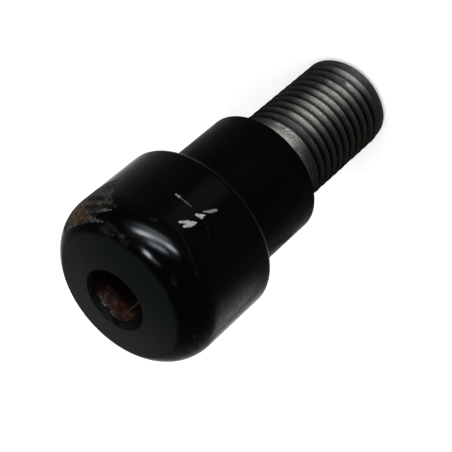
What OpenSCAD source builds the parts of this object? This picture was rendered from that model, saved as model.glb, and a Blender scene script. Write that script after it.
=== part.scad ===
// Bar end weight, turned from one piece of steel. It screws into the end of a handlebar tube.
// It stands on the end of its stud, with its axis along Z and the face with the key socket on top.

/* [Stud] */
// Outside diameter of the threaded stud
stud_diameter = 14; // [10:0.5:16]
// Length of the stud, from its end to the shoulder
stud_length = 20.9; // [12:0.1:32]
// Bevel at the end of the stud
stud_bevel = 0.8; // [0.4:0.1:1.5]

/* [Thread] */
// Pitch of the right-handed thread
thread_pitch = 1.5; // [1:0.25:2]
// Plain length of the stud between the thread and the shoulder
thread_relief = 2; // [1.5:0.1:5]
// How much narrower the thread is, over its crests, than the plain stud
thread_undersize = 0.1; // [0.04:0.02:0.3]
// Length of the taper from the crests up to the plain length
crest_taper = 0.6; // [0.4:0.1:1.5]
// Length over which the groove gets shallow and ends
thread_run_out = 1.7; // [0.5:0.1:3]
// Height at which the middle of the groove first passes the +X side
thread_start = 0.425; // [0:0.025:1]

/* [Shoulder] */
// Diameter of the shoulder, which fits inside the bar tube
shoulder_diameter = 18.5; // [17:0.1:21]
// Length of the shoulder, from the stud to the head
shoulder_length = 13.9; // [6:0.1:24]
// Bevel at the end of the shoulder
shoulder_bevel = 0.3; // [0.1:0.1:0.8]

/* [Head] */
// Outside diameter of the head, which covers the end of the tube
head_diameter = 24.5; // [24:0.1:34]
// Length of the head, from the face that meets the tube to the rim of the domed face
head_length = 16; // [13:0.1:26]
// Rounding of the head's edge beside the tube
back_rounding = 0.8; // [0.3:0.1:1.5]
// Radius of the arc that rounds the nose into the side
nose_radius = 5.6; // [4:0.1:7]
// Diameter of the rim where the domed face meets the nose
face_diameter = 18.6; // [17:0.1:19.5]
// Height of the domed face over its rim
dome_height = 1; // [0.5:0.05:2]

/* [Key socket] */
// Width of the six-sided key, across its flats
key_width = 8; // [5:0.5:9]
// Depth of the six-sided part, measured from the rim of the face
socket_depth = 9; // [5:0.1:11]
// Diameter of the cone at the socket's mouth
mouth_diameter = 9.3; // [9.3:0.1:11]
// How much narrower the drilled hole under the flats is than the key
drill_undersize = 0.3; // [0.1:0.1:1]
// Angle of the drill's point at the bottom of the socket
drill_point_angle = 118; // [90:1:140]

/* [Hidden] */
$fn = 96;
// Overlap of joined shapes, and how far a cutting shape runs past the surface
eps = 0.05;
past = 1;
paint_colour = [0.06, 0.065, 0.065];
steel_colour = [0.45, 0.45, 0.43];
stud_radius = stud_diameter / 2;
shoulder_radius = shoulder_diameter / 2;
head_radius = head_diameter / 2;
face_radius = face_diameter / 2;
shoulder_z = stud_length;
head_z = shoulder_z + shoulder_length;
rim_z = head_z + head_length;
top_z = rim_z + dome_height;
// The dome is part of a ball that passes through the rim.
dome_radius = (face_radius * face_radius + dome_height * dome_height) / (2 * dome_height);
// The nose's arc runs out along the side of the head and passes through the rim.
nose_inset = face_radius - (head_radius - nose_radius);
nose_z = rim_z - sqrt(nose_radius * nose_radius - nose_inset * nose_inset);
// Thread: flanks at 60 degrees to each other, and a crest an eighth of the pitch wide.
// The groove is cut by a solid of rings along a helix, from below the stud's end to past its run-out.
crest_radius = (stud_diameter - thread_undersize) / 2;
thread_depth = 0.6134 * thread_pitch;
plain_z = shoulder_z - thread_relief;
thread_end_z = plain_z - crest_taper;
root_half_width = 7 / 16 * thread_pitch - thread_depth * tan(30);
groove_past = thread_pitch / 16;
groove_overrun = 0.08;
rings_per_turn = 36;
first_turn = -1 - thread_start / thread_pitch;
last_turn = (thread_end_z + groove_overrun * thread_run_out - thread_start) / thread_pitch;
ring_count = ceil((last_turn - first_turn) * rings_per_turn);
// Socket: six flats, a cone of 45 degrees at the mouth, and the mark of the drill at the bottom.
corner_radius = key_width / 2 / cos(30);
socket_z = rim_z - socket_depth;
drill_radius = (key_width - drill_undersize) / 2;
drill_depth = drill_radius / tan(drill_point_angle / 2);
mouth_radius = mouth_diameter / 2;
mouth_z = rim_z + sqrt(dome_radius * dome_radius - mouth_radius * mouth_radius) - dome_radius + dome_height;

// Half of the head's section, right of the axis
module head_section() {
    intersection() {
        union() {
            translate([0, head_z + back_rounding])
                square([head_radius, nose_z - head_z - back_rounding]);
            translate([0, head_z])
                square([head_radius - back_rounding, back_rounding + eps]);
            translate([head_radius - back_rounding, head_z + back_rounding])
                circle(r = back_rounding);
            translate([0, nose_z - eps])
                square([head_radius - nose_radius, top_z - nose_z + eps]);
            translate([head_radius - nose_radius, nose_z])
                circle(r = nose_radius);
        }
        translate([0, top_z - dome_radius])
            circle(r = dome_radius);
        translate([0, head_z])
            square([head_radius, top_z - head_z]);
    }
}

// Height of the groove's middle after a number of turns from the +X side
function groove_z(turn) = thread_start + turn * thread_pitch;

// Depth of the groove at a height
function groove_depth(z) = thread_depth * min(1, (thread_end_z - z) / thread_run_out);

// Four corners of the groove after a number of turns: two at its root and two just outside its crests
function groove_ring(turn) =
    let (
        z = groove_z(turn),
        depth = groove_depth(z),
        outer_half_width = root_half_width + (depth + groove_past) * tan(30)
    ) [
        for (corner = [
            [crest_radius - depth, z - root_half_width],
            [crest_radius - depth, z + root_half_width],
            [crest_radius + groove_past, z + outer_half_width],
            [crest_radius + groove_past, z - outer_half_width],
        ]) [corner[0] * cos(360 * turn), corner[0] * sin(360 * turn), corner[1]]
    ];

// The groove of the thread, as a solid that winds round the stud
module thread_groove() {
    points = [for (i = [0 : ring_count]) each groove_ring(first_turn + i / rings_per_turn)];
    last = 4 * ring_count;
    walls = [
        for (ring = [0 : 4 : last - 4], side = [0 : 3])
            let (next = (side + 1) % 4)
            each [
                [ring + side, ring + 4 + side, ring + 4 + next],
                [ring + side, ring + 4 + next, ring + next],
            ]
    ];
    polyhedron(points, concat([[0, 1, 2, 3]], walls, [[last + 3, last + 2, last + 1, last]]));
}

// The hollow for the key, open at the domed face
module key_socket() {
    translate([0, 0, socket_z])
        cylinder(r = corner_radius, h = top_z - socket_z + past, $fn = 6);
    translate([0, 0, socket_z - drill_depth])
        cylinder(r1 = 0, r2 = drill_radius, h = drill_depth);
    translate([0, 0, mouth_z - mouth_radius])
        cylinder(r1 = 0, r2 = mouth_radius + past, h = mouth_radius + past);
}

// Head, with the socket in its face
module head() {
    color(paint_colour)
        difference() {
            rotate_extrude() head_section();
            key_socket();
        }
}

// Shoulder, with a bevel at its end
module shoulder() {
    color(paint_colour)
        translate([0, 0, shoulder_z])
            rotate_extrude()
                polygon([
                    [0, 0],
                    [shoulder_radius - shoulder_bevel, 0],
                    [shoulder_radius, shoulder_bevel],
                    [shoulder_radius, shoulder_length + eps],
                    [0, shoulder_length + eps],
                ]);
}

// Stud: a bevelled end, the thread, which runs out, and a plain length under the shoulder
module stud() {
    color(steel_colour)
        difference() {
            rotate_extrude()
                polygon([
                    [0, 0],
                    [crest_radius - stud_bevel, 0],
                    [crest_radius, stud_bevel],
                    [crest_radius, thread_end_z],
                    [stud_radius, plain_z],
                    [stud_radius, shoulder_z + eps],
                    [0, shoulder_z + eps],
                ]);
            thread_groove();
        }
}

// The whole weight, turned from one piece: head, shoulder and stud
module weight() {
    head();
    shoulder();
    stud();
}

weight();
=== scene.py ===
"""Bar end weight in black paint, with a bare threaded stud, standing on the end of that stud."""

import logging
import math
from dataclasses import dataclass
from enum import Enum
from typing import Callable, Union

import bmesh
import bpy
from mathutils import Matrix, Vector, noise


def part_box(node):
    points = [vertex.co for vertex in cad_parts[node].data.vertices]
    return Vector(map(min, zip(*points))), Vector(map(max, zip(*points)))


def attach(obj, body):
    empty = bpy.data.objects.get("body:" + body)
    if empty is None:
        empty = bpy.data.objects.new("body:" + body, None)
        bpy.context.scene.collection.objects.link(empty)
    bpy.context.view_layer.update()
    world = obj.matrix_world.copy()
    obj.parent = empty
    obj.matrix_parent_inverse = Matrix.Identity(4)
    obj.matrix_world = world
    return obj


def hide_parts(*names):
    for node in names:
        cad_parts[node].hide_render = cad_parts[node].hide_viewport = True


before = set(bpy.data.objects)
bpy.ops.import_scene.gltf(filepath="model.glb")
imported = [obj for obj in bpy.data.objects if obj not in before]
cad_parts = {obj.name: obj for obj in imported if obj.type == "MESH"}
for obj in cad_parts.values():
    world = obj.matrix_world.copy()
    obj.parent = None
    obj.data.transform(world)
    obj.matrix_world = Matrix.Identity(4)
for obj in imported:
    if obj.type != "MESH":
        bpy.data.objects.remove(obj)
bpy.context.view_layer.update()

log = logging.getLogger("bar_end_weight")

MM = 0.001
STEPS_ROUND = 192
# Points that lie closer together than this, in mm, are taken as one.
NEAR = 0.004

Colour = tuple[float, float, float]
# A wall gives its distance from the axis, in mm, at an angle in degrees and a height in mm.
Wall = Callable[[float, float], float]
# An entry or an output of a material's node, and what an entry can be fed with
Wire = bpy.types.NodeSocket
Value = Union[Wire, float, tuple, Vector]


class Slot(Enum):
    """Material slots of the weight, in the order in which its mesh holds them."""

    HEAD = 0
    SHOULDER = 1
    STEEL = 2
    SOCKET = 3


def on_circle(radius: float, angle: float, height: float) -> Vector:
    """Gives a point at a radius and a height, turned from the front.

    Args:
        radius: Distance from the axis, in mm.
        angle: Turn from -Y towards -X, in degrees.
        height: Height over the end of the stud, in mm.

    Returns:
        The point, in metres.
    """
    turn = math.radians(angle)
    return Vector((-radius * math.sin(turn), -radius * math.cos(turn), height)) * MM


def ease(value: float, low: float, high: float) -> float:
    """Rises smoothly from 0 at low to 1 at high.

    Args:
        value: The value that is looked up.
        low: Where the rise starts.
        high: Where the rise ends.

    Returns:
        A share from 0 to 1.
    """
    share = min(1.0, max(0.0, (value - low) / (high - low)))
    return share * share * (3 - 2 * share)


class SectionPen:
    """Draws half of a turned section in the XZ plane, one stroke after the other."""

    def __init__(self, mesh: bmesh.types.BMesh, radius: float, height: float) -> None:
        """Sets the pen down.

        Args:
            mesh: Mesh that is drawn in.
            radius: Radius of the first point, in mm.
            height: Height of the first point, in mm.
        """
        self.mesh = mesh
        self.tip = mesh.verts.new(Vector((radius, 0, height)) * MM)
        self.drawn = [self.tip]

    def line(self, radius: float, height: float, steps: int = 1) -> None:
        """Draws a straight stroke.

        Args:
            radius: Radius at its end, in mm.
            height: Height at its end, in mm.
            steps: Number of equal parts.
        """
        start = self.tip.co.copy()
        end = Vector((radius, 0, height)) * MM
        for step in range(1, steps + 1):
            made = bmesh.ops.extrude_vert_indiv(self.mesh, verts=[self.tip])
            self.tip = made["verts"][0]
            self.tip.co = start.lerp(end, step / steps)
            self.drawn += made["verts"] + made["edges"]

    def arc(self, radius: float, height: float, sweep: float, steps: int) -> None:
        """Draws a round stroke.

        Args:
            radius: Radius of the arc's centre, in mm.
            height: Height of the arc's centre, in mm.
            sweep: Angle of the arc in degrees, positive from the top outwards.
            steps: Number of equal parts.
        """
        before = {*self.mesh.verts, *self.mesh.edges}
        made = bmesh.ops.spin(
            self.mesh,
            geom=[self.tip],
            cent=Vector((radius, 0, height)) * MM,
            axis=(0, 1, 0),
            angle=math.radians(sweep),
            steps=steps,
        )
        self.tip = [part for part in made["geom_last"] if isinstance(part, bmesh.types.BMVert)][0]
        self.drawn += [part for part in (*self.mesh.verts, *self.mesh.edges) if part not in before]

    def turn(self) -> None:
        """Turns the drawn section once round the axis."""
        bmesh.ops.spin(
            self.mesh,
            geom=self.drawn,
            cent=(0, 0, 0),
            axis=(0, 0, 1),
            angle=math.tau,
            steps=STEPS_ROUND,
            use_merge=True,
        )


def ring_at(mesh: bmesh.types.BMesh, radius: float, height: float) -> list[bmesh.types.BMEdge]:
    """Finds the edges of a ring round the axis.

    Args:
        mesh: Mesh that is searched.
        radius: Radius of the ring, in mm.
        height: Height of the ring, in mm.

    Returns:
        The edges whose two ends lie on the ring.
    """
    near = NEAR * MM

    def lies_on(vert: bmesh.types.BMVert) -> bool:
        """Tells whether a vertex lies on the ring."""
        off = abs(vert.co.xy.length - radius * MM)
        return off < near and abs(vert.co.z - height * MM) < near

    return [edge for edge in mesh.edges if all(lies_on(vert) for vert in edge.verts)]


def extrude_ring(mesh: bmesh.types.BMesh, ring: list[bmesh.types.BMEdge]) -> tuple[list, list]:
    """Extrudes a ring of edges in place.

    Args:
        mesh: Mesh that holds the ring.
        ring: Edges of the ring.

    Returns:
        The new vertices and the new ring's edges.
    """
    made = bmesh.ops.extrude_edge_only(mesh, edges=ring)["geom"]
    verts = [part for part in made if isinstance(part, bmesh.types.BMVert)]
    edges = [part for part in made if isinstance(part, bmesh.types.BMEdge)]
    new = set(verts)
    return verts, [edge for edge in edges if new.issuperset(edge.verts)]


def round_edges(
    mesh: bmesh.types.BMesh, edges: list[bmesh.types.BMEdge], offset: float, segments: int
) -> None:
    """Rounds edges.

    Args:
        mesh: Mesh that holds the edges.
        edges: The edges.
        offset: Width of the rounding to each side, in mm.
        segments: Number of its parts.
    """
    bmesh.ops.bevel(
        mesh,
        geom=edges,
        offset=offset * MM,
        segments=segments,
        profile=0.5,
        affect="EDGES",
        material=-1,
    )


@dataclass
class TurnedHead:
    """The head and the shoulder under it, turned as one profile. Sizes are in mm."""

    radius: float
    mouth_height: float
    mouth_radius: float
    face_radius: float = 9.3
    dome_height: float = 1.0
    length: float = 16.0
    nose_radius: float = 5.6
    back_rounding: float = 0.8
    shoulder_radius: float = 9.25
    shoulder_length: float = 13.9
    shoulder_bevel: float = 0.3
    crease: float = 0.35
    corner_fillet: float = 0.2
    # Numbers of parts of the profile's strokes
    face_steps: int = 12
    nose_steps: int = 26
    side_steps: int = 26
    back_steps: int = 6
    flat_steps: int = 3
    fillet_steps: int = 3
    shoulder_steps: int = 24
    bevel_steps: int = 2
    crease_steps: int = 4

    def __post_init__(self) -> None:
        """Works out the heights and the arcs' centres."""
        self.dome_radius = (self.face_radius**2 + self.dome_height**2) / (2 * self.dome_height)
        mouth_rise = math.sqrt(self.dome_radius**2 - self.mouth_radius**2)
        self.top = self.mouth_height + self.dome_radius - mouth_rise
        self.rim = self.top - self.dome_height
        self.back = self.rim - self.length
        self.shoulder_end = self.back - self.shoulder_length
        self.nose_centre = self.radius - self.nose_radius
        inset = self.face_radius - self.nose_centre
        self.nose_height = self.rim - math.sqrt(self.nose_radius**2 - inset**2)
        self.nose_start = math.degrees(math.asin(inset / self.nose_radius))

    def wall(self, angle: float, height: float) -> float:
        """Gives the outer radius of the head at a height, the same at every angle."""
        rise = min(max(height - self.nose_height, 0.0), self.nose_radius)
        return self.nose_centre + math.sqrt(self.nose_radius**2 - rise**2)

    def shoulder_wall(self, angle: float, height: float) -> float:
        """Gives the radius of the shoulder, the same everywhere."""
        return self.shoulder_radius

    def build(self, mesh: bmesh.types.BMesh, seat_radius: float) -> None:
        """Turns the head and the shoulder.

        Args:
            mesh: Mesh that takes them.
            seat_radius: Radius beside the stud, where the profile ends.
        """
        pen = SectionPen(mesh, self.mouth_radius, self.mouth_height)
        mouth_angle = math.degrees(math.asin(self.mouth_radius / self.dome_radius))
        face_angle = math.degrees(math.asin(self.face_radius / self.dome_radius))
        pen.arc(0, self.top - self.dome_radius, face_angle - mouth_angle, self.face_steps)
        pen.arc(self.nose_centre, self.nose_height, 90 - self.nose_start, self.nose_steps)
        rounding = self.back_rounding
        pen.line(self.radius, self.back + rounding, self.side_steps)
        pen.arc(self.radius - rounding, self.back + rounding, 90, self.back_steps)
        fillet = self.corner_fillet
        pen.line(self.shoulder_radius + fillet, self.back, self.flat_steps)
        pen.arc(self.shoulder_radius + fillet, self.back - fillet, -90, self.fillet_steps)
        pen.line(self.shoulder_radius, self.shoulder_end + self.shoulder_bevel, self.shoulder_steps)
        pen.line(self.shoulder_radius - self.shoulder_bevel, self.shoulder_end, self.bevel_steps)
        pen.line(seat_radius, self.shoulder_end, self.flat_steps)
        pen.turn()
        round_edges(mesh, ring_at(mesh, self.face_radius, self.rim), self.crease, self.crease_steps)


@dataclass
class KeySocket:
    """The six-sided hollow for the key, with a cone at its mouth. Sizes are in mm."""

    key_width: float = 8.0
    mouth_radius: float = 4.65
    depth: float = 9.0
    drill_radius: float = 3.85
    point_angle: float = 118.0
    rows: int = 22
    point_rows: int = 8
    # Shares of the bottom's ledge at which its two rings lie, the first one close to the corner
    ledge_shares: tuple[float, float] = (0.985, 1.0)
    mouth_rounding: float = 0.1
    mouth_steps: int = 3
    # Rust scale: its height, the patches per mm of its two noises, and the share of the finer one
    scale_height: float = 0.07
    scale_sizes: tuple[float, float] = (1.7, 4.1)
    scale_share: float = 0.6
    # Depths under the rim between which the scale sets in, and the depth down to which there is none
    scale_depths: tuple[float, float] = (0.8, 2.2)
    clean_depth: float = 0.5
    # Points further out than the corners by this margin aren't in the socket.
    corner_margin: float = 0.01
    # Points nearer to the axis than this are the tip of the drilled point, which has no scale.
    point_radius: float = 0.5

    def wall(self, angle: float, height: float) -> float:
        """Gives the distance from the axis to the six-sided wall, the same at every height."""
        return self.flat_at(on_circle(1.0, angle, height))

    def flat_at(self, point: Vector) -> float:
        """Gives the distance from the axis to the six-sided wall.

        Args:
            point: A point in the direction that is asked for.

        Returns:
            The distance, in mm.
        """
        sixth = math.tau / 6
        turn = math.atan2(point.y, point.x) % sixth - sixth / 2
        return self.key_width / 2 / math.cos(turn)

    def build(self, mesh: bmesh.types.BMesh, head: TurnedHead) -> None:
        """Cuts the socket into the mouth of the turned head.

        Args:
            mesh: Mesh that holds the head.
            head: The head, for its heights.
        """
        mouth_height = head.mouth_height
        mouth = ring_at(mesh, self.mouth_radius, mouth_height)
        bottom = head.rim - self.depth
        verts, ring = extrude_ring(mesh, mouth)
        for vert in verts:
            wall = self.flat_at(vert.co)
            height = mouth_height - (self.mouth_radius - wall)
            vert.co = Vector((*(vert.co.xy.normalized() * wall), height)) * MM
        for row in range(1, self.rows + 1):
            left = self.rows + 1 - row
            verts, ring = extrude_ring(mesh, ring)
            for vert in verts:
                vert.co.z += (bottom * MM - vert.co.z) / left
        for share in self.ledge_shares:
            verts, ring = extrude_ring(mesh, ring)
            for vert in verts:
                start = self.flat_at(vert.co)
                width = start + (self.drill_radius - start) * share
                vert.co.xy = vert.co.xy.normalized() * width * MM
        point_depth = self.drill_radius / math.tan(math.radians(self.point_angle / 2))
        for row in range(1, self.point_rows):
            verts, ring = extrude_ring(mesh, ring)
            for vert in verts:
                vert.co.xy = vert.co.xy.normalized() * self.drill_radius * MM * (1 - row / self.point_rows)
                vert.co.z = (bottom - point_depth * row / self.point_rows) * MM
        verts, ring = extrude_ring(mesh, ring)
        bmesh.ops.pointmerge(mesh, verts=verts, merge_co=Vector((0, 0, bottom - point_depth)) * MM)
        mouth = ring_at(mesh, self.mouth_radius, mouth_height)
        round_edges(mesh, mouth, self.mouth_rounding, self.mouth_steps)
        self.corrode(mesh, head)

    def corrode(self, mesh: bmesh.types.BMesh, head: TurnedHead) -> None:
        """Lays rust scale on the walls below the painted mouth.

        Args:
            mesh: Mesh that holds the socket.
            head: The head, for its heights.
        """
        corner_radius = self.key_width / 2 / math.cos(math.radians(30))
        coarse, fine = self.scale_sizes
        for vert in mesh.verts:
            height = vert.co.z / MM
            reach = vert.co.xy.length / MM
            inside = reach < corner_radius + self.corner_margin
            if not inside or height < head.back or height > head.rim - self.clean_depth:
                continue
            where = vert.co / MM
            grain = noise.noise(where * coarse) + self.scale_share * noise.noise(where * fine)
            deep = ease(head.rim - height, *self.scale_depths)
            inward = -vert.co.xy.normalized() if reach > self.point_radius else Vector((0, 0))
            vert.co.xy += inward * abs(grain) * self.scale_height * MM * deep


@dataclass
class ThreadedStud:
    """The stud with its right-handed thread, which runs out before the shoulder. Sizes are in mm."""

    length: float
    radius: float = 7.0
    pitch: float = 1.5
    depth: float = 0.92
    crest_radius: float = 6.95
    # Shares of half a pitch at which the crest ends and the root starts, and how much both are rounded
    crest_share: float = 0.07
    root_share: float = 0.93
    rounding: float = 0.045
    # Height of a crest over the end, at the front
    crest_height: float = 0.8
    run_out_start: float = 16.6
    run_out_end: float = 18.45
    plain_start: float = 18.9
    end_bevel: float = 0.8
    # Width of the flat ring between the bevel and the cap that closes the end
    end_ring: float = 0.4
    points_per_pitch: int = 14
    # Pitches that are wound beyond the stud's length, and how many of them lie below its end
    spare_turns: int = 3
    turns_below: int = 2
    # Dents in the crests: how noise is stretched for them, the level over which it dents, their depth, and
    # the depths under the crests between which they show
    dent_stretch: tuple[float, float, float] = (0.55, 0.55, 1.1)
    dent_level: float = 0.28
    dent_depth: float = 0.22
    dent_depths: tuple[float, float] = (0.5, 0.05)
    # How far the bevel at the end wanders, and the patches per mm of its noise
    bevel_wander: float = 0.03
    bevel_scale: float = 1.3
    # Distance within which a point counts as lying on the plane that trims the thread
    trim_snap: float = 0.0001

    def groove(self, share: float) -> float:
        """Gives the depth of the groove across one pitch.

        Args:
            share: Place across the pitch, 0 at the middle of a crest and 1 at the middle of a root.

        Returns:
            The depth under the crest, in mm.
        """
        slope = (share - self.crest_share) / (self.root_share - self.crest_share)
        slope = min(1.0, max(0.0, slope))
        return self.depth * (slope - math.sin(math.tau * slope) * self.rounding)

    def build(self, mesh: bmesh.types.BMesh) -> None:
        """Winds the thread and trims it to the stud's length, open at the shoulder.

        Args:
            mesh: Empty mesh that takes the stud.
        """
        turns = math.ceil(self.length / self.pitch) + self.spare_turns
        start = self.crest_height - self.pitch * self.turns_below - self.pitch / 2
        pen = SectionPen(mesh, self.crest_radius - self.depth, start)
        for point in range(1, self.points_per_pitch + 1):
            across = point / self.points_per_pitch
            share = abs(across - 0.5) * 2
            pen.line(self.crest_radius - self.groove(share), start + self.pitch * across)
        # The section stands on +X, a quarter turn after the front.
        bmesh.ops.translate(mesh, verts=mesh.verts[:], vec=(0, 0, self.pitch / 4 * MM))
        bmesh.ops.spin(
            mesh,
            geom=pen.drawn,
            cent=(0, 0, 0),
            axis=(0, 0, 1),
            dvec=(0, 0, self.pitch / STEPS_ROUND * MM),
            angle=math.tau,
            steps=STEPS_ROUND,
        )
        one_turn = mesh.verts[:] + mesh.edges[:] + mesh.faces[:]
        for turn in range(1, turns):
            copy = bmesh.ops.duplicate(mesh, geom=one_turn)["geom"]
            copied = [part for part in copy if isinstance(part, bmesh.types.BMVert)]
            bmesh.ops.translate(mesh, verts=copied, vec=(0, 0, self.pitch * turn * MM))
        bmesh.ops.remove_doubles(mesh, verts=mesh.verts[:], dist=NEAR * MM)
        self.wear(mesh)
        for height, side in ((0.0, "clear_inner"), (self.length, "clear_outer")):
            bmesh.ops.bisect_plane(
                mesh,
                geom=mesh.verts[:] + mesh.edges[:] + mesh.faces[:],
                dist=self.trim_snap * MM,
                plane_co=(0, 0, height * MM),
                plane_no=(0, 0, 1),
                **{side: True},
            )
        self.close_end(mesh)

    def wall(self, angle: float, height: float) -> float:
        """Gives the radius of the crests, the same everywhere."""
        return self.crest_radius

    def wear(self, mesh: bmesh.types.BMesh) -> None:
        """Runs the thread out, bevels its end and dents its crests.

        Args:
            mesh: Mesh that holds the wound thread.
        """
        end_radius = self.crest_radius - self.end_bevel
        deep, shallow = self.dent_depths
        for vert in mesh.verts:
            height = vert.co.z / MM
            where = vert.co / MM
            cut = self.crest_radius - vert.co.xy.length / MM
            cut *= 1 - ease(height, self.run_out_start, self.run_out_end)
            plain = ease(height, self.run_out_end, self.plain_start)
            crest = self.crest_radius + (self.radius - self.crest_radius) * plain
            reach = crest - cut
            knock = max(0.0, noise.noise(where * Vector(self.dent_stretch)) - self.dent_level)
            reach -= knock * self.dent_depth * ease(reach, crest - deep, crest - shallow)
            wander = self.bevel_wander * noise.noise(where * self.bevel_scale)
            reach = min(reach, end_radius + max(height, 0.0) + wander)
            vert.co.xy = vert.co.xy.normalized() * reach * MM

    def close_end(self, mesh: bmesh.types.BMesh) -> None:
        """Closes the flat end of the stud.

        Args:
            mesh: Mesh that holds the trimmed thread.
        """
        low = [edge for edge in mesh.edges if edge.is_boundary and edge.verts[0].co.z < self.pitch * MM]
        cap_radius = self.crest_radius - self.end_bevel - self.end_ring
        verts, ring = extrude_ring(mesh, low)
        for vert in verts:
            vert.co.xy = vert.co.xy.normalized() * cap_radius * MM
        bmesh.ops.edgeloop_fill(mesh, edges=ring)


@dataclass(frozen=True)
class Mark:
    """A mark on a wall, from one place to another: angle from the front in degrees, height in mm."""

    start: tuple[float, float]
    end: tuple[float, float]
    width_start: float
    width_end: float
    soft: float = 0.12


@dataclass(frozen=True)
class Stain:
    """A mark with a colour of its own."""

    mark: Mark
    colour: Colour


# Scrapes beside the nose, down to bright metal
FLAKES = (
    Mark((-9.4, 44.6), (-6.2, 43.7), 0.08, 0.20),
    Mark((-5.9, 44.6), (-4.2, 43.8), 0.10, 0.22),
    Mark((-7.0, 44.1), (-3.9, 43.35), 0.12, 0.26),
    Mark((-4.2, 43.4), (-2.9, 42.88), 0.22, 0.03),
    Mark((-6.2, 42.05), (-3.6, 41.75), 0.12, 0.20),
    Mark((-4.2, 41.75), (-3.1, 41.25), 0.20, 0.05),
)
DULL_FLAKES = (
    Mark((-4.8, 40.95), (-2.3, 40.15), 0.05, 0.14),
    Mark((-2.3, 40.1), (-0.8, 39.35), 0.14, 0.08),
    Mark((-23.5, 41.72), (-21.0, 41.71), 0.06, 0.12),
)
THIN_SCRAPES = (
    Mark((-21.0, 41.71), (-14.4, 41.73), 0.05, 0.06),
    Mark((-14.4, 41.73), (-11.9, 41.7), 0.05, 0.01),
)
FAINT_LINES = (
    Mark((-1.3, 45.9), (7.3, 46.4), 0.03, 0.04),
    Mark((7.3, 46.4), (20.4, 47.2), 0.04, 0.02),
    Mark((-0.3, 42.0), (5.9, 42.35), 0.02, 0.04),
    Mark((5.9, 42.35), (10.3, 43.44), 0.04, 0.02),
    Mark((-22.0, 46.9), (-19.0, 46.6), 0.1, 0.16),
    Mark((61.5, 49.2), (64.5, 49.35), 0.06, 0.05),
)
# How much of the bare metal shows in each kind of scrape
SCRAPES = ((1.0, FLAKES), (0.5, DULL_FLAKES), (0.14, THIN_SCRAPES), (0.014, FAINT_LINES))
# Smears where the paint of the rim and of the side is rubbed grey
SMEARS = (
    Mark((-72.0, 42.5), (-74.0, 37.0), 0.5, 0.25, 0.6),
    Mark((-48.0, 50.0), (-27.0, 50.2), 0.25, 0.15, 0.9),
    Mark((13.5, 49.6), (21.0, 49.95), 0.02, 0.05, 0.4),
)
# Corroded patch on the nose: grey ground, rust over it, and pale places at its edges
PATCH_GREY = (0.0110, 0.0115, 0.0096)
PATCH_BROWN = (0.031, 0.0180, 0.0100)
PATCH_RED = (0.026, 0.0165, 0.0135)
PATCH_DARK = (0.0022, 0.0016, 0.0014)
PATCH_PALE = (0.032, 0.030, 0.027)
PATCH_DUST = (0.018, 0.018, 0.0155)
PATCH = (
    Stain(Mark((-95.0, 48.9), (-66.0, 48.5), 1.0, 1.25, 0.25), PATCH_GREY),
    Stain(Mark((-66.0, 48.5), (-56.0, 47.6), 1.25, 1.1, 0.25), PATCH_GREY),
    Stain(Mark((-88.0, 49.6), (-59.0, 49.5), 0.45, 0.4, 0.2), PATCH_GREY),
    Stain(Mark((-90.0, 47.0), (-63.0, 46.3), 1.4, 1.5, 0.25), PATCH_GREY),
    Stain(Mark((-84.0, 45.0), (-67.0, 44.4), 1.2, 1.0, 0.25), PATCH_GREY),
    Stain(Mark((-74.0, 43.6), (-68.0, 42.9), 0.7, 0.5, 0.3), PATCH_GREY),
    Stain(Mark((-62.0, 49.6), (-50.5, 49.7), 0.25, 0.2, 0.15), PATCH_PALE),
    Stain(Mark((-68.0, 45.6), (-62.0, 46.0), 0.3, 0.2, 0.5), PATCH_DUST),
    Stain(Mark((-82.0, 47.9), (-62.0, 47.5), 0.5, 0.5, 0.6), PATCH_RED),
    Stain(Mark((-86.0, 49.0), (-66.0, 49.2), 0.5, 0.4, 0.5), PATCH_BROWN),
    Stain(Mark((-69.0, 48.2), (-60.0, 48.2), 0.22, 0.2, 0.4), PATCH_DARK),
    Stain(Mark((-72.0, 46.7), (-60.0, 47.0), 0.2, 0.2, 0.4), PATCH_DARK),
    Stain(Mark((-66.0, 45.0), (-63.0, 44.0), 0.2, 0.2, 0.4), PATCH_DARK),
    Stain(Mark((-62.0, 49.05), (-57.0, 49.1), 0.1, 0.1, 0.2), PATCH_DARK),
    Stain(Mark((-57.0, 48.2), (-46.0, 47.6), 0.05, 0.22, 0.15), PATCH_DARK),
    Stain(Mark((-57.0, 48.65), (-47.6, 48.3), 0.16, 0.12, 0.12), PATCH_PALE),
    Stain(Mark((-91.0, 49.8), (-78.0, 49.8), 0.2, 0.12, 0.2), PATCH_PALE),
    Stain(Mark((-39.6, 50.42), (-37.8, 50.36), 0.06, 0.06, 0.12), PATCH_GREY),
    Stain(Mark((-33.0, 50.2), (-30.5, 50.15), 0.05, 0.08, 0.12), PATCH_GREY),
)
# Brown dirt low on the shoulder
SHOULDER_BROWN = (0.0060, 0.0040, 0.0032)
SHOULDER_STAINS = (
    Stain(Mark((60.0, 30.5), (72.0, 26.5), 0.35, 0.4, 0.8), SHOULDER_BROWN),
)
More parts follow.
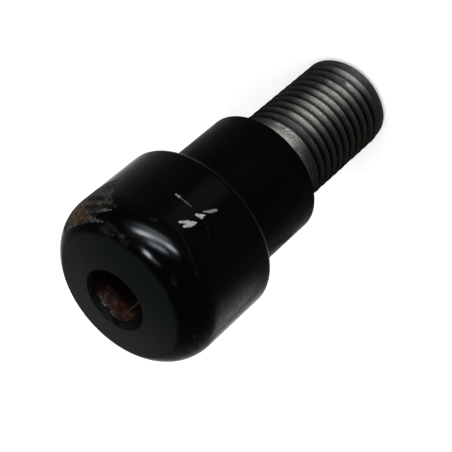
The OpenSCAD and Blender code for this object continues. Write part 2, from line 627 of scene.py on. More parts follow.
# Pale and orange places in the socket, most of them on the far wall
SOCKET_GREY = (0.045, 0.046, 0.040)
SOCKET_ORANGE = (0.036, 0.0090, 0.0030)
SOCKET_BRIGHT = (0.13, 0.12, 0.105)
SOCKET_PALE = (0.055, 0.048, 0.042)
SOCKET_TAN = (0.045, 0.034, 0.020)
SOCKET_DUST = (0.05, 0.045, 0.038)
SOCKET_STAINS = (
    Stain(Mark((174.0, 51.37), (170.5, 51.34), 0.07, 0.05, 0.1), SOCKET_GREY),
    Stain(Mark((163.0, 49.4), (166.0, 48.7), 0.3, 0.15, 0.6), SOCKET_ORANGE),
    Stain(Mark((191.5, 50.66), (184.5, 50.55), 0.1, 0.07, 0.1), SOCKET_BRIGHT),
    Stain(Mark((168.0, 50.6), (160.5, 50.62), 0.08, 0.1, 0.15), SOCKET_PALE),
    Stain(Mark((150.0, 50.05), (150.5, 46.2), 0.07, 0.09, 0.15), SOCKET_TAN),
    Stain(Mark((139.0, 50.3), (134.0, 50.15), 0.07, 0.08, 0.15), SOCKET_DUST),
)
# Dirt that hides the bright crests of the thread
SMUDGES = (
    Mark((-40.0, 4.3), (-20.0, 4.5), 0.9, 0.6, 0.6),
    Mark((-36.0, 15.9), (6.0, 16.2), 0.45, 0.4, 0.35),
    Mark((-60.0, 10.0), (-58.0, 6.0), 2.0, 2.4, 1.5),
)


@dataclass(frozen=True)
class Grain:
    """Noise around 0.5: patches per mm, octaves of finer noise, factors on the axes, and an offset."""

    scale: float
    detail: float = 3.0
    stretch: tuple[float, float, float] = (1, 1, 1)
    shift: float = 0.0


@dataclass(frozen=True)
class Ramp:
    """A smooth map of the values from low to high onto those from start to end."""

    low: float
    high: float
    start: float = 0.0
    end: float = 1.0


@dataclass(frozen=True)
class Shake:
    """How far noise shakes the outline of a mark, in mm, and the patches per mm of that noise."""

    amount: float
    scale: float
    detail: float = 4.0


class Desk:
    """Sets out the nodes of one material."""

    # The Mix node's sockets share their names, so they are found by number.
    mix_colours = (6, 7)
    mix_colour_result = 2
    mix_values = (2, 3)
    mix_value_result = 0
    noise_middle = 0.5
    stain_grain = Grain(1.7, 6.0, shift=3.0)
    stain_mottle = Ramp(0.32, 0.66, 0.3, 1.7)

    def __init__(self, name: str) -> None:
        """Opens a new material.

        Args:
            name: Name of the material.
        """
        self.material = bpy.data.materials.new(name)
        self.material.use_nodes = True
        self.tree = self.material.node_tree
        self.shader = self.tree.nodes["Principled BSDF"]
        place = self.add("ShaderNodeTexCoord").outputs["Object"]
        self.mm = self.vector("SCALE", place, scale=1 / MM)

    def add(self, kind: str, **settings: object) -> bpy.types.Node:
        """Adds a node.

        Args:
            kind: The node's type.
            settings: Properties of the node, by their names.

        Returns:
            The node.
        """
        node = self.tree.nodes.new(kind)
        for name, value in settings.items():
            setattr(node, name, value)
        return node

    def feed(self, entry: Wire, value: Value) -> None:
        """Links an output to an entry, or sets the entry's own value.

        Args:
            entry: The entry of a node.
            value: An output, or a plain value.
        """
        if isinstance(value, bpy.types.NodeSocket):
            self.tree.links.new(value, entry)
        else:
            entry.default_value = value

    def sum(self, operation: str, first: Value, second: Value = 0.0) -> Wire:
        """Works out one step of arithmetic on values.

        Args:
            operation: The step, by the Math node's name.
            first: The first value.
            second: The second value.

        Returns:
            The result.
        """
        node = self.add("ShaderNodeMath", operation=operation)
        self.feed(node.inputs[0], first)
        self.feed(node.inputs[1], second)
        return node.outputs[0]

    def vector(
        self, operation: str, first: Value, second: Value | None = None, scale: Value | None = None
    ) -> Wire:
        """Works out one step of arithmetic on vectors.

        Args:
            operation: The step, by the Vector Math node's name.
            first: The first vector.
            second: The second vector, if the step has one.
            scale: The factor, if the step has one.

        Returns:
            The result, which is a value for a length and a dot product.
        """
        node = self.add("ShaderNodeVectorMath", operation=operation)
        self.feed(node.inputs[0], first)
        if second is not None:
            self.feed(node.inputs[1], second)
        if scale is not None:
            self.feed(node.inputs["Scale"], scale)
        return node.outputs["Value" if operation in ("LENGTH", "DOT_PRODUCT") else "Vector"]

    def span(self, value: Value, ramp: Ramp) -> Wire:
        """Maps a value smoothly from one span to another.

        Args:
            value: The value.
            ramp: The two spans.

        Returns:
            The mapped value.
        """
        node = self.add("ShaderNodeMapRange", interpolation_type="SMOOTHSTEP")
        self.feed(node.inputs["Value"], value)
        self.feed(node.inputs["From Min"], ramp.low)
        self.feed(node.inputs["From Max"], ramp.high)
        self.feed(node.inputs["To Min"], ramp.start)
        self.feed(node.inputs["To Max"], ramp.end)
        return node.outputs["Result"]

    def noise(self, where: Value, scale: float, detail: float) -> bpy.types.Node:
        """Adds a noise node.

        Args:
            where: Places in mm.
            scale: Patches per mm.
            detail: Octaves of finer noise.

        Returns:
            The node.
        """
        node = self.add("ShaderNodeTexNoise")
        self.feed(node.inputs["Vector"], where)
        self.feed(node.inputs["Scale"], scale)
        self.feed(node.inputs["Detail"], detail)
        return node

    def grain(self, grain: Grain) -> Wire:
        """Gives the value of a grain at every place.

        Args:
            grain: The grain.

        Returns:
            The noise, around 0.5.
        """
        where = self.vector("MULTIPLY", self.mm, grain.stretch)
        where = self.vector("ADD", where, (grain.shift, grain.shift, grain.shift))
        return self.noise(where, grain.scale, grain.detail).outputs["Fac"]

    def cloud(self, grain: Grain, ramp: Ramp) -> Wire:
        """Gives a grain with its contrast set by a ramp."""
        return self.span(self.grain(grain), ramp)

    def wander(self, grain: Grain, amount: float) -> Wire:
        """Gives noise around 0, up to half of an amount to each side."""
        centred = self.sum("SUBTRACT", self.grain(grain), self.noise_middle)
        return self.sum("MULTIPLY", centred, amount)

    def blend(self, share: Value, first: Value, second: Value) -> Wire:
        """Mixes two colours.

        Args:
            share: Share of the second colour.
            first: The first colour.
            second: The second colour.

        Returns:
            The mixed colour.
        """
        node = self.add("ShaderNodeMix", data_type="RGBA")
        self.feed(node.inputs[0], share)
        for number, colour in zip(self.mix_colours, (first, second)):
            plain = not isinstance(colour, bpy.types.NodeSocket)
            self.feed(node.inputs[number], (*colour, 1) if plain else colour)
        return node.outputs[self.mix_colour_result]

    def blend_value(self, share: Value, first: Value, second: Value) -> Wire:
        """Mixes two values.

        Args:
            share: Share of the second value.
            first: The first value.
            second: The second value.

        Returns:
            The mixed value.
        """
        node = self.add("ShaderNodeMix", data_type="FLOAT")
        self.feed(node.inputs[0], share)
        for number, value in zip(self.mix_values, (first, second)):
            self.feed(node.inputs[number], value)
        return node.outputs[self.mix_value_result]

    def axes(self) -> list[Wire]:
        """Gives the three parts of the place, in mm."""
        node = self.add("ShaderNodeSeparateXYZ")
        self.feed(node.inputs[0], self.mm)
        return list(node.outputs)

    def reach(self) -> Wire:
        """Gives the distance from the axis, in mm."""
        return self.vector("LENGTH", self.vector("MULTIPLY", self.mm, (1, 1, 0)))

    def ragged(self, shake: Shake) -> Wire:
        """Gives places that are shaken by noise, for ragged outlines.

        Args:
            shake: How far and how finely they are shaken.

        Returns:
            The places, in mm.
        """
        node = self.noise(self.mm, shake.scale, shake.detail)
        centre = (self.noise_middle, self.noise_middle, self.noise_middle)
        centred = self.vector("SUBTRACT", node.outputs["Color"], centre)
        return self.vector("ADD", self.mm, self.vector("SCALE", centred, scale=shake.amount))

    def scrape(self, mark: Mark, wall: Wall, where: Wire) -> Wire:
        """Masks one mark.

        Args:
            mark: The mark.
            wall: Gives the wall's distance from the axis at an angle and a height.
            where: Places in mm.

        Returns:
            1 on the mark and 0 off it.
        """
        ends = [on_circle(wall(angle, high), angle, high) / MM for angle, high in (mark.start, mark.end)]
        run = ends[1] - ends[0]
        offset = self.vector("SUBTRACT", where, tuple(ends[0]))
        along = self.vector("DOT_PRODUCT", offset, tuple(run / run.length_squared))
        along = self.sum("MAXIMUM", self.sum("MINIMUM", along, 1.0), 0.0)
        near = self.vector("SCALE", tuple(run), scale=along)
        away = self.vector("LENGTH", self.vector("SUBTRACT", offset, near))
        width = self.blend_value(along, mark.width_start, mark.width_end)
        return self.span(self.sum("SUBTRACT", away, width), Ramp(mark.soft, 0.0))

    def scrapes(self, marks: tuple[Mark, ...], wall: Wall, where: Wire) -> Wire:
        """Masks several marks at once."""
        return self.any_of([self.scrape(mark, wall, where) for mark in marks])

    def stain(self, colour: Value, stains: tuple[Stain, ...], wall: Wall, where: Wire) -> tuple[Wire, Wire]:
        """Lays stains over a colour, one after the other.

        Args:
            colour: The colour under them.
            stains: The stains, from the lowest to the highest.
            wall: Gives the wall's distance from the axis at an angle and a height.
            where: Places in mm.

        Returns:
            The stained colour, and the mask of all the stains.
        """
        masks = [self.scrape(stain.mark, wall, where) for stain in stains]
        mottle = self.cloud(self.stain_grain, self.stain_mottle)
        for stain, mask in zip(stains, masks):
            colour = self.blend(mask, colour, self.vector("SCALE", stain.colour, scale=mottle))
        return colour, self.any_of(masks)

    def any_of(self, masks: list[Wire]) -> Wire:
        """Joins masks into one.

        Args:
            masks: The masks.

        Returns:
            The highest of them at every place.
        """
        joined = masks[0]
        for mask in masks[1:]:
            joined = self.sum("MAXIMUM", joined, mask)
        return joined

    def relief(self, height: Value, depth: float, under: Wire | None = None) -> Wire:
        """Adds a bump.

        Args:
            height: Height from 0 to 1.
            depth: Depth of that height, in mm.
            under: Normal of the layer under it.

        Returns:
            The bumped normal.
        """
        node = self.add("ShaderNodeBump")
        self.feed(node.inputs["Strength"], 1.0)
        self.feed(node.inputs["Distance"], depth * MM)
        self.feed(node.inputs["Height"], height)
        if under is not None:
            self.feed(node.inputs["Normal"], under)
        return node.outputs["Normal"]

    def finish(self, **entries: Value) -> bpy.types.Material:
        """Feeds the shader.

        Args:
            entries: Outputs or values, by the shader's own names with _ for spaces.

        Returns:
            The finished material.
        """
        for name, value in entries.items():
            self.feed(self.shader.inputs[name.replace("_", " ")], value)
        return self.material


@dataclass(frozen=True)
class HeadPaint:
    """Black gloss paint, rubbed dull on the domed face, where a painted sheen stands in for its reflection,
    with scrapes and a corroded patch.
    """

    name: str = "black_head_paint"
    black: Colour = (0.0002, 0.0003, 0.0003)
    roughness: float = 0.115
    specular: float = 0.01
    haze_grain: Grain = Grain(0.35, 4.0, shift=5.0)
    haze_ramp: Ramp = Ramp(0.45, 0.75, 0.0, 0.06)
    peel_grain: Grain = Grain(0.9, 2.0)
    peel_depth: float = 0.006
    # The rubbed face mirrors nothing. Its grey is rubbed paint with a painted sheen in place of a
    # reflection, and that sheen is painted paler from -Y to +Y.
    rubbed: Colour = (0.0045, 0.0062, 0.0056)
    pale_end: Colour = (0.0200, 0.0215, 0.0200)
    rubbed_roughness: float = 0.42
    rubbed_specular: float = 0.0
    pale_ramp: Ramp = Ramp(-9.0, 9.0)
    # The face fades out from inside the rim to outside it, wanders there, and ends at depths under the rim.
    edge: float = 0.5
    edge_inside: float = 0.2
    edge_depths: tuple[float, float] = (0.9, 0.4)
    edge_grain: Grain = Grain(0.5, 4.0)
    # Smears
    smeared: Colour = (0.0078, 0.0082, 0.0078)
    smear_shake: Shake = Shake(0.7, 1.1)
    smear_grain: Grain = Grain(0.9, shift=9.0)
    smear_ramp: Ramp = Ramp(0.36, 0.66)
    # Scrapes down to the metal
    bare: Colour = (0.30, 0.30, 0.29)
    flake_shake: Shake = Shake(0.16, 3.0)
    flake_grain: Grain = Grain(2.0, 4.0)
    flake_ramp: Ramp = Ramp(0.3, 0.55, 0.75, 1.0)
    # The corroded patch
    worn_roughness: float = 0.55
    worn_specular: float = 0.007
    patch_shake: Shake = Shake(0.9, 1.3)
    pit_grain: Grain = Grain(3.0, 5.0)
    pit_depth: float = 0.06
    # The side towards -X is scuffed, so its gloss is mottled.
    scuff_ramp: Ramp = Ramp(-7.5, -10.5)
    scuff_grain: Grain = Grain(1.4, 5.0, shift=11.0)
    scuff_specular: Ramp = Ramp(0.36, 0.64, 0.0072, 0.0126)

    def dress(self, head: TurnedHead) -> bpy.types.Material:
        """Makes the material.

        Args:
            head: The head that carries it.

        Returns:
            The material.
        """
        desk = Desk(self.name)
        across, along, _ = desk.axes()
        rubbed = self.face(desk, head)
        smear = desk.scrapes(SMEARS, head.wall, desk.ragged(self.smear_shake))
        smear = desk.sum("MULTIPLY", smear, desk.cloud(self.smear_grain, self.smear_ramp))
        colour = desk.blend(smear, self.black, self.smeared)
        # The face's colour carries a painted sheen, paler towards +Y.
        face_colour_and_sheen = desk.blend(desk.span(along, self.pale_ramp), self.rubbed, self.pale_end)
        colour = desk.blend(rubbed, colour, face_colour_and_sheen)
        colour, patch = desk.stain(colour, PATCH, head.wall, desk.ragged(self.patch_shake))
        flakes = self.flakes(desk, head)
        colour = desk.blend(flakes, colour, self.bare)
        worn = desk.sum("MAXIMUM", flakes, patch)
        haze = desk.cloud(self.haze_grain, self.haze_ramp)
        roughness = desk.blend_value(rubbed, self.roughness, self.rubbed_roughness)
        roughness = desk.blend_value(worn, desk.sum("ADD", roughness, haze), self.worn_roughness)
        scuffed = desk.cloud(self.scuff_grain, self.scuff_specular)
        specular = desk.blend_value(desk.span(across, self.scuff_ramp), self.specular, scuffed)
        specular = desk.blend_value(rubbed, specular, self.rubbed_specular)
        specular = desk.blend_value(worn, specular, self.worn_specular)
        peel = desk.relief(desk.grain(self.peel_grain), self.peel_depth)
        pits = desk.sum("MULTIPLY", desk.grain(self.pit_grain), patch)
        normal = desk.relief(pits, self.pit_depth, peel)
        return desk.finish(
            Base_Color=colour,
            Roughness=roughness,
            Specular_IOR_Level=specular,
            Normal=normal,
        )

    def flakes(self, desk: Desk, head: TurnedHead) -> Wire:
        """Masks the scrapes, each kind as strongly as its metal shows.

        Args:
            desk: The material's nodes.
            head: The head that carries it.

        Returns:
            1 on bare metal and 0 off it.
        """
        where = desk.ragged(self.flake_shake)
        masks = [(desk.scrapes(marks, head.wall, where), share) for share, marks in SCRAPES]
        bare = desk.any_of([desk.sum("MULTIPLY", mask, share) for mask, share in masks])
        return desk.sum("MULTIPLY", bare, desk.cloud(self.flake_grain, self.flake_ramp))

    def face(self, desk: Desk, head: TurnedHead) -> Wire:
        """Masks the rubbed face.

        Args:
            desk: The material's nodes.
            head: The head that carries it.

        Returns:
            1 on the face and 0 off it.
        """
        height = desk.axes()[2]
        reach = desk.sum("ADD", desk.reach(), desk.wander(self.edge_grain, self.edge))
        outside = head.face_radius + self.edge
        face = desk.span(reach, Ramp(outside, head.face_radius - self.edge_inside))
        low, high = (head.rim - depth for depth in self.edge_depths)
        return desk.sum("MULTIPLY", face, desk.span(height, Ramp(low, high)))


@dataclass(frozen=True)
class SatinPaint:
    """Black paint of the shoulder, rubbed dull and a little cloudy."""

    name: str = "black_shoulder"
    black: Colour = (0.0004, 0.0006, 0.0005)
    cloudy: Colour = (0.0006, 0.0009, 0.00075)
    cloud_grain: Grain = Grain(0.22, 4.0, shift=2.0)
    cloud_ramp: Ramp = Ramp(0.35, 0.7)
    roughness: Ramp = Ramp(0.3, 0.7, 0.24, 0.34)
    stained_roughness: float = 0.6
    stain_shake: Shake = Shake(1.4, 0.9)
    specular: float = 0.004
    skin_grain: Grain = Grain(3.0, 4.0)
    skin_depth: float = 0.012

    def dress(self, head: TurnedHead) -> bpy.types.Material:
        """Makes the material.

        Args:
            head: The head, with the shoulder that carries it.

        Returns:
            The material.
        """
        desk = Desk(self.name)
        cloud = desk.grain(self.cloud_grain)
        colour = desk.blend(desk.span(cloud, self.cloud_ramp), self.black, self.cloudy)
        where = desk.ragged(self.stain_shake)
        colour, stained = desk.stain(colour, SHOULDER_STAINS, head.shoulder_wall, where)
        roughness = desk.blend_value(stained, desk.span(cloud, self.roughness), self.stained_roughness)
        return desk.finish(
            Base_Color=colour,
            Roughness=roughness,
            Specular_IOR_Level=self.specular,
            Normal=desk.relief(desk.grain(self.skin_grain), self.skin_depth),
        )


@dataclass(frozen=True)
class WornSteel:
    """Turned steel of the stud, dark with age, bright on the crests, and dark in the thread's roots with
    dirt and painted shade.
    """

    name: str = "worn_steel"
    crest: Colour = (0.0150, 0.0144, 0.0122)
    plain: Colour = (0.0240, 0.0228, 0.0194)
    # Dirt and painted shade in the thread's roots
    root: Colour = (0.0020, 0.0019, 0.0016)
    dirt: Colour = (0.013, 0.0128, 0.0116)
    dust: Colour = (0.0225, 0.0223, 0.020)
    fine_grain: Grain = Grain(3.5, 4.0, (1, 1, 3), 4.0)
    wander_grain: Grain = Grain(1.1, 5.0)
    wander: float = 0.25
    # Shares of the thread's depth, under its crests, between which the roots' dirt and painted shade give
    # way
    root_dirt_and_shade_shares: tuple[float, float] = (0.75, 0.15)
    # Smudges on the thread, dust at the stud's end, and grime all over
    smudge_shake: Shake = Shake(0.8, 1.2)
    smudge_share: float = 0.85
    pale_ramp: Ramp = Ramp(2.6, 1.4)
    dust_share: float = 0.95
    grime_ramp: Ramp = Ramp(0.6, 0.42, 0.0, 0.45)
    mottle: Ramp = Ramp(0.35, 0.65, 0.5, 1.5)
    roughness: Ramp = Ramp(0.3, 0.7, 0.66, 0.56)
    specular: float = 0.05
    dusty_specular: float = 0.03
    specular_tint: tuple[float, ...] = (0.2, 0.2, 0.2, 1)
    # The marks of the lathe, which spread the highlights along the axis
    anisotropy: float = 0.86
    anisotropic_turn: float = 0.25
    lathe_grain: Grain = Grain(1.0, 3.0, (0.4, 0.4, 9.0))
    lathe_depth: float = 0.012
    pit_grain: Grain = Grain(5.0, 4.0)
    pit_depth: float = 0.02

    def dress(self, stud: ThreadedStud) -> bpy.types.Material:
        """Makes the material.

        Args:
            stud: The stud that carries it.

        Returns:
            The material.
        """
        desk = Desk(self.name)
        height = desk.axes()[2]
        fine = desk.grain(self.fine_grain)
        wander = desk.wander(self.wander_grain, self.wander)
        low, high = (stud.crest_radius - stud.depth * share for share in self.root_dirt_and_shade_shares)
        # Dirt and painted shade darken the roots; the crests above them are worn clean.
        worn = desk.span(desk.sum("ADD", desk.reach(), wander), Ramp(low, high))
        relieved = desk.span(height, Ramp(stud.run_out_end, stud.plain_start))
        bare = desk.blend(relieved, self.crest, self.plain)
        smudge = desk.scrapes(SMUDGES, stud.wall, desk.ragged(self.smudge_shake))
        pale_end = desk.span(desk.sum("ADD", height, wander), self.pale_ramp)
        dirty = desk.sum("MULTIPLY", smudge, self.smudge_share)
        dirty = desk.sum("MAXIMUM", dirty, desk.sum("MULTIPLY", pale_end, self.dust_share))
        dirty = desk.sum("MAXIMUM", dirty, desk.span(fine, self.grime_ramp))
        soil = desk.blend(pale_end, self.dirt, self.dust)
        soil = desk.vector("SCALE", soil, scale=desk.span(fine, self.mottle))
        root = desk.blend(pale_end, self.root, self.dust)
        lathe = desk.relief(desk.grain(self.lathe_grain), self.lathe_depth)
        return desk.finish(
            Base_Color=desk.blend(worn, root, desk.blend(dirty, bare, soil)),
            Metallic=desk.sum("SUBTRACT", 1.0, dirty),
            Roughness=desk.span(fine, self.roughness),
            Specular_IOR_Level=desk.blend_value(pale_end, self.specular, self.dusty_specular),
            Specular_Tint=self.specular_tint,
            Anisotropic=self.anisotropy,
            Anisotropic_Rotation=self.anisotropic_turn,
            Tangent=desk.add("ShaderNodeTangent", direction_type="RADIAL", axis="Z").outputs[0],
            Normal=desk.relief(desk.grain(self.pit_grain), self.pit_depth, lathe),
        )


@dataclass(frozen=True)
class RustySocket:
    """Paint that reaches a little way into the socket, and rust below it, darkened deeper down by painted
    shade.
    """

    name: str = "rusty_socket"
    black: Colour = (0.0018, 0.0018, 0.0018)
    rust: Colour = (0.066, 0.041, 0.032)
    rust_dark: Colour = (0.026, 0.011, 0.008)
    # Painted shade, into which the rust darkens deep in the socket
    deep: Colour = (0.0022, 0.0013, 0.0009)
    wander_grain: Grain = Grain(0.8, 4.0)
    wander: float = 0.8
    tone_grain: Grain = Grain(0.9, 5.0, shift=7.0)
    tone_ramp: Ramp = Ramp(0.4, 0.62)
    # Depths in mm at which the paint ends, and over which painted shade darkens the rust
    paint_end: Ramp = Ramp(0.15, 0.55)
    painted_shade_depth: Ramp = Ramp(1.2, 3.0)
    # The rust lies on the far wall. The walls beside it and the near ones stay black, partly with their
    # paint and partly with painted shade.
    far_shares: tuple[float, float] = (0.55, 0.8)
    beside: Ramp = Ramp(1.3, 2.3, 1.0, 0.15)
    stain_shake: Shake = Shake(0.5, 1.6)
    crust_grain: Grain = Grain(2.6, 6.0)
    crust_depth: float = 0.2
    roughness: float = 0.6
    specular: float = 0.004

    def dress(self, head: TurnedHead, socket: KeySocket) -> bpy.types.Material:
        """Makes the material.

        Args:
            head: The head that holds the socket.
            socket: The socket.

        Returns:
            The material.
        """
        desk = Desk(self.name)
        across, along, height = desk.axes()
        wander = desk.wander(self.wander_grain, self.wander)
        depth = desk.sum("ADD", desk.sum("SUBTRACT", head.rim, height), wander)
        low, high = (socket.key_width / 2 * share for share in self.far_shares)
        far = desk.span(desk.sum("ADD", along, wander), Ramp(low, high))
        # Black beside the far wall: partly paint, partly painted shade.
        side = desk.span(desk.sum("ADD", across, wander), self.beside)
        tones = desk.blend(desk.cloud(self.tone_grain, self.tone_ramp), self.rust_dark, self.rust)
        # Painted shade darkens the rust with depth.
        tones = desk.blend(desk.span(depth, self.painted_shade_depth), tones, self.deep)
        rusty = desk.sum("MULTIPLY", desk.span(depth, self.paint_end), desk.sum("MULTIPLY", far, side))
        colour = desk.blend(rusty, self.black, tones)
        colour, stained = desk.stain(colour, SOCKET_STAINS, socket.wall, desk.ragged(self.stain_shake))
        crust = desk.sum("MULTIPLY", desk.grain(self.crust_grain), desk.sum("MAXIMUM", rusty, stained))
        return desk.finish(
            Base_Color=colour,
            Roughness=self.roughness,
            Specular_IOR_Level=self.specular,
            Normal=desk.relief(crust, self.crust_depth),
        )


@dataclass
class BarEndWeight:
    """The whole weight as one closed mesh: head, shoulder, socket and threaded stud."""

    node: str = "weight"
    piece_name: str = "turned_weight"
    # Width of the flat ring that closes the shoulder's end round the stud
    seat_gap: float = 0.35
    sharp_angle: float = 38.0
    # Margins in mm that tell the slots of faces apart
    mouth_margin: float = 0.02
    back_margin: float = 0.05
    stud_margin: float = 0.02
    shoulder_margin: float = 0.01

    def __post_init__(self) -> None:
        """Takes the overall sizes from the frame."""
        low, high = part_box(self.node)
        self.socket = KeySocket()
        self.head = TurnedHead(
            radius=high.x / MM,
            mouth_height=high.z / MM,
            mouth_radius=self.socket.mouth_radius,
        )
        self.stud = ThreadedStud(length=self.head.shoulder_end)

    def build(self) -> bpy.types.Object:
        """Builds the mesh, dresses it and puts it in the place of the CAD node.

        Returns:
            The finished piece.
        """
        data = bpy.data.meshes.new(self.piece_name)
        mesh = bmesh.new()
        self.stud.build(mesh)
        log.info("thread wound: %d faces", len(mesh.faces))
        mesh.to_mesh(data)
        mesh.clear()
        self.head.build(mesh, self.stud.radius + self.seat_gap)
        self.socket.build(mesh, self.head)
        log.info("head and socket turned: %d faces", len(mesh.faces))
        mesh.from_mesh(data)
        open_rings = [edge for edge in mesh.edges if edge.is_boundary]
        bmesh.ops.triangle_fill(mesh, edges=open_rings, use_beauty=True, normal=(0, 0, -1))
        bmesh.ops.recalc_face_normals(mesh, faces=mesh.faces[:])
        loose = [edge for edge in mesh.edges if len(edge.link_faces) != 2]
        log.info("weight closed: %d faces, %d edges without two faces", len(mesh.faces), len(loose))
        for face in mesh.faces:
            face.smooth = True
            face.material_index = self.slot_of(face).value
        mesh.to_mesh(data)
        mesh.free()
        piece = bpy.data.objects.new(self.piece_name, data)
        bpy.context.scene.collection.objects.link(piece)
        data.set_sharp_from_angle(angle=math.radians(self.sharp_angle))
        self.dress(piece)
        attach(piece, "root")
        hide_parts(self.node)
        return piece

    def slot_of(self, face: bmesh.types.BMFace) -> Slot:
        """Picks a face's slot by its place.

        Args:
            face: A face of the weight.

        Returns:
            The slot.
        """
        centre = face.calc_center_median() / MM
        reach = centre.xy.length
        if reach < self.socket.mouth_radius - self.mouth_margin and centre.z > self.head.back:
            return Slot.SOCKET
        if centre.z > self.head.back - self.back_margin:
            return Slot.HEAD
        outside = reach > self.stud.radius + self.stud_margin
        if outside and centre.z > self.head.shoulder_end - self.shoulder_margin:
            return Slot.SHOULDER
        return Slot.STEEL

    def dress(self, piece: bpy.types.Object) -> None:
        """Gives the piece its four finishes, in the order of the slots.

        Args:
            piece: The piece.
        """
        finishes = {
            Slot.HEAD: HeadPaint().dress(self.head),
            Slot.SHOULDER: SatinPaint().dress(self.head),
            Slot.STEEL: WornSteel().dress(self.stud),
            Slot.SOCKET: RustySocket().dress(self.head, self.socket),
        }
        for slot in Slot:
            piece.data.materials.append(finishes[slot])


@dataclass(frozen=True)
class Lamp:
    """A panel lamp that faces the weight. Its places and sizes are angles seen from there, in degrees."""

    name: str
    azimuth: float
    elevation: float
    roll: float
    across: float
    upward: float
    level: float
    distance: float = 0.6
    in_diffuse: bool = False
    in_highlights: bool = True
    colour: Colour = (0.86, 0.93, 1.0)

    def side(self, angle: float) -> float:
        """Gives the length of a side that is seen at an angle, in metres."""
        return 2 * self.distance * math.tan(math.radians(angle / 2))

    def facing(self) -> Matrix:
        """Turns the panel towards the weight.

        Returns:
            A rotation, with the panel's width, its height and the way out from the weight as columns.
        """
        angles = (self.azimuth, self.elevation, self.roll)
        azimuth, elevation, roll = (math.radians(angle) for angle in angles)
        flat = math.cos(elevation)
        outward = Vector((math.sin(azimuth) * flat, -math.cos(azimuth) * flat, math.sin(elevation)))
        level = Vector((math.cos(azimuth), math.sin(azimuth), 0))
        across = level * math.cos(roll) + outward.cross(level) * math.sin(roll)
        return Matrix((across, outward.cross(across), outward)).transposed()


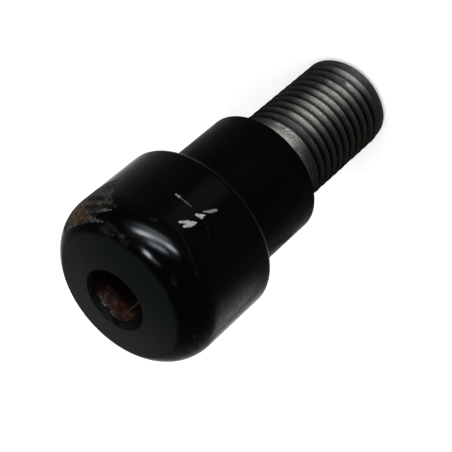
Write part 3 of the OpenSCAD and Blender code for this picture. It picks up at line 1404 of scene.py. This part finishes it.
@dataclass
class Studio:
    """Plain pale floor, soft light and the camera at the photograph's viewing angle."""

    target: Vector
    white: Colour = (1.0, 1.0, 1.0)
    floor_radius: float = 3.0
    floor_steps: int = 96
    floor_colour: Colour = (0.86, 0.86, 0.86)
    floor_roughness: float = 0.9
    floor_specular: float = 0.1
    floor_glow: Colour = (0.93, 1.0, 0.95)
    # How much the floor is lifted towards white, and how strongly the world lights what isn't looked at
    floor_lift: float = 0.3
    world_level: float = 0.62
    # Share of a strip's width at which its light has reached its full level
    strip_edge: float = 0.4

    def lamps(self) -> tuple[Lamp, ...]:
        """Lists the lamps: two soft boxes, and strips that show only in the highlights.

        Returns:
            The lamps, each with azimuth, elevation, roll, width, height and level.
        """
        soft = {"in_diffuse": True, "in_highlights": False, "colour": self.white}
        return (
            Lamp("key_box", -15, 58, 0, 35, 35, 4.0, distance=0.8, **soft),
            Lamp("side_box", 70, 40, 0, 31, 31, 2.0, distance=0.9, **soft),
            Lamp("strip_main", 25, 19, 27, 70, 13, 270),
            Lamp("strip_main_near", 2, 8, 27, 22, 11, 340),
            Lamp("strip_main_far", 38, 27, 25, 34, 11, 330),
            Lamp("strip_high", 15, 30.5, 31, 36, 10, 260),
            Lamp("strip_low", 27, 9, 22, 60, 16, 80),
            Lamp("glow", 25, 20, 27, 90, 50, 16),
            Lamp("spot_top", 25, 60, 8, 13, 12, 600),
            Lamp("spot_tail", 12, 60, 8, 22, 9, 70),
            Lamp("floor_glow", -106, -29, 0, 52, 28, 3, distance=0.075, colour=self.floor_glow),
            Lamp("front_glow", 20, -34, 0, 34, 22, 4, distance=0.07),
        )

    def build(self) -> None:
        """Builds the floor, the world, the lamps and the camera."""
        self.lay_floor()
        self.light_world()
        for lamp in self.lamps():
            self.hang(lamp)
        PhotoCamera().build()

    def lay_floor(self) -> None:
        """Lays the floor that the weight stands on."""
        mesh = bmesh.new()
        bmesh.ops.create_circle(mesh, cap_ends=True, segments=self.floor_steps, radius=self.floor_radius)
        data = bpy.data.meshes.new("floor")
        mesh.to_mesh(data)
        mesh.free()
        floor = bpy.data.objects.new("floor", data)
        bpy.context.scene.collection.objects.link(floor)
        data.materials.append(self.floor_material())

    def floor_material(self) -> bpy.types.Material:
        """Makes the floor's material, lifted towards white where it is looked at.

        Returns:
            The material.
        """
        material = bpy.data.materials.new("pale_floor")
        material.use_nodes = True
        tree = material.node_tree
        shader = tree.nodes["Principled BSDF"]
        shader.inputs["Base Color"].default_value = (*self.floor_colour, 1)
        shader.inputs["Roughness"].default_value = self.floor_roughness
        shader.inputs["Specular IOR Level"].default_value = self.floor_specular
        shader.inputs["Emission Color"].default_value = (*self.white, 1)
        lift = tree.nodes.new("ShaderNodeMath")
        lift.operation = "MULTIPLY"
        lift.inputs[1].default_value = self.floor_lift
        tree.links.new(self.looked_at(tree), lift.inputs[0])
        tree.links.new(lift.outputs[0], shader.inputs["Emission Strength"])
        return material

    def looked_at(self, tree: bpy.types.NodeTree) -> bpy.types.NodeSocket:
        """Tells looked-at rays apart.

        Args:
            tree: Nodes of the floor's material or of the world.

        Returns:
            1 for camera, glossy and transmission rays and 0 for the rest.
        """
        path = tree.nodes.new("ShaderNodeLightPath")
        joined = path.outputs["Is Camera Ray"]
        for name in ("Is Glossy Ray", "Is Transmission Ray"):
            step = tree.nodes.new("ShaderNodeMath")
            step.operation = "MAXIMUM"
            tree.links.new(joined, step.inputs[0])
            tree.links.new(path.outputs[name], step.inputs[1])
            joined = step.outputs[0]
        return joined

    def light_world(self) -> None:
        """Lights the world evenly, and shows it white."""
        world = bpy.data.worlds.new("studio")
        bpy.context.scene.world = world
        world.use_nodes = True
        tree = world.node_tree
        background = tree.nodes["Background"]
        background.inputs["Color"].default_value = (*self.white, 1)
        level = tree.nodes.new("ShaderNodeMapRange")
        level.inputs["To Min"].default_value = self.world_level
        level.inputs["To Max"].default_value = 1.0
        tree.links.new(self.looked_at(tree), level.inputs["Value"])
        tree.links.new(level.outputs["Result"], background.inputs["Strength"])

    def hang(self, lamp: Lamp) -> None:
        """Hangs one lamp.

        Args:
            lamp: The lamp.
        """
        light = bpy.data.lights.new(lamp.name, "AREA")
        light.shape = "RECTANGLE"
        light.size = lamp.side(lamp.across)
        light.size_y = lamp.side(lamp.upward)
        light.energy = lamp.level * math.pi * lamp.side(lamp.across) * lamp.side(lamp.upward)
        light.color = lamp.colour
        holder = bpy.data.objects.new(lamp.name, light)
        bpy.context.scene.collection.objects.link(holder)
        facing = lamp.facing()
        place = self.target + facing.col[2] * lamp.distance
        holder.matrix_world = Matrix.Translation(place) @ facing.to_4x4()
        holder.visible_camera = False
        holder.visible_diffuse = lamp.in_diffuse
        holder.visible_glossy = lamp.in_highlights
        if not lamp.in_diffuse:
            self.soften(light)

    def soften(self, light: bpy.types.AreaLight) -> None:
        """Lets a strip's light fade towards its edges.

        Args:
            light: The strip.
        """
        light.use_nodes = True
        tree = light.node_tree
        emission = tree.nodes["Emission"]
        place = tree.nodes.new("ShaderNodeNewGeometry").outputs["Parametric"]
        parts = tree.nodes.new("ShaderNodeSeparateXYZ")
        tree.links.new(place, parts.inputs[0])
        middle = 0.5
        fade = None
        for part in parts.outputs[:2]:
            bell = tree.nodes.new("ShaderNodeMath")
            bell.operation = "PINGPONG"
            bell.inputs[1].default_value = middle
            tree.links.new(part, bell.inputs[0])
            edge = tree.nodes.new("ShaderNodeMapRange")
            edge.interpolation_type = "SMOOTHSTEP"
            edge.inputs["From Max"].default_value = self.strip_edge
            tree.links.new(bell.outputs[0], edge.inputs["Value"])
            if fade is None:
                fade = edge.outputs["Result"]
                continue
            both = tree.nodes.new("ShaderNodeMath")
            both.operation = "MULTIPLY"
            tree.links.new(fade, both.inputs[0])
            tree.links.new(edge.outputs["Result"], both.inputs[1])
            tree.links.new(both.outputs[0], emission.inputs["Strength"])


@dataclass(frozen=True)
class PhotoCamera:
    """Camera at the photograph's viewing angle. The rim's centre is the point that it is placed by."""

    image_size: int = 452
    focal_px: float = 1546.0
    rim_px: tuple[float, float] = (118.212, 297.133)
    rim_height: float = 50.8
    distance: float = 193.68
    tilt: float = 54.112
    turn: float = 41.378
    sensor_width: float = 36.0
    clip_start: float = 0.01
    clip_end: float = 20.0

    def build(self) -> None:
        """Places the camera and makes it the scene's."""
        data = bpy.data.cameras.new("photo_camera")
        data.sensor_width = self.sensor_width
        data.lens = self.focal_px / self.image_size * self.sensor_width
        data.clip_start = self.clip_start
        data.clip_end = self.clip_end
        camera = bpy.data.objects.new("photo_camera", data)
        bpy.context.scene.collection.objects.link(camera)
        middle = self.image_size / 2
        right = (self.rim_px[0] - middle) / self.focal_px
        up = (middle - self.rim_px[1]) / self.focal_px
        rim_seen = Vector((right, up, -1)) * self.distance * MM
        tilt = math.radians(self.tilt)
        turn = math.radians(self.turn)
        axis = Vector((math.cos(turn) * math.sin(tilt), math.sin(turn) * math.sin(tilt), -math.cos(tilt)))
        toward = -rim_seen.normalized()
        front = (toward - axis * toward.dot(axis)).normalized()
        side = axis.cross(front)
        turned = Matrix((-side, -front, -axis))
        rim = Vector((0, 0, self.rim_height)) * MM
        camera.matrix_world = Matrix.Translation(rim - turned @ rim_seen) @ turned.to_4x4()
        bpy.context.scene.camera = camera


def main() -> None:
    """Builds the studio and the weight."""
    logging.basicConfig(level=logging.INFO, format="%(name)s: %(message)s")
    weight = BarEndWeight()
    piece = weight.build()
    log.info("%s: %d faces", piece.name, len(piece.data.polygons))
    Studio(target=Vector((0, 0, weight.head.nose_height * MM))).build()
    bpy.context.scene.view_settings.view_transform = "Standard"


if __name__ == "__main__":
    main()
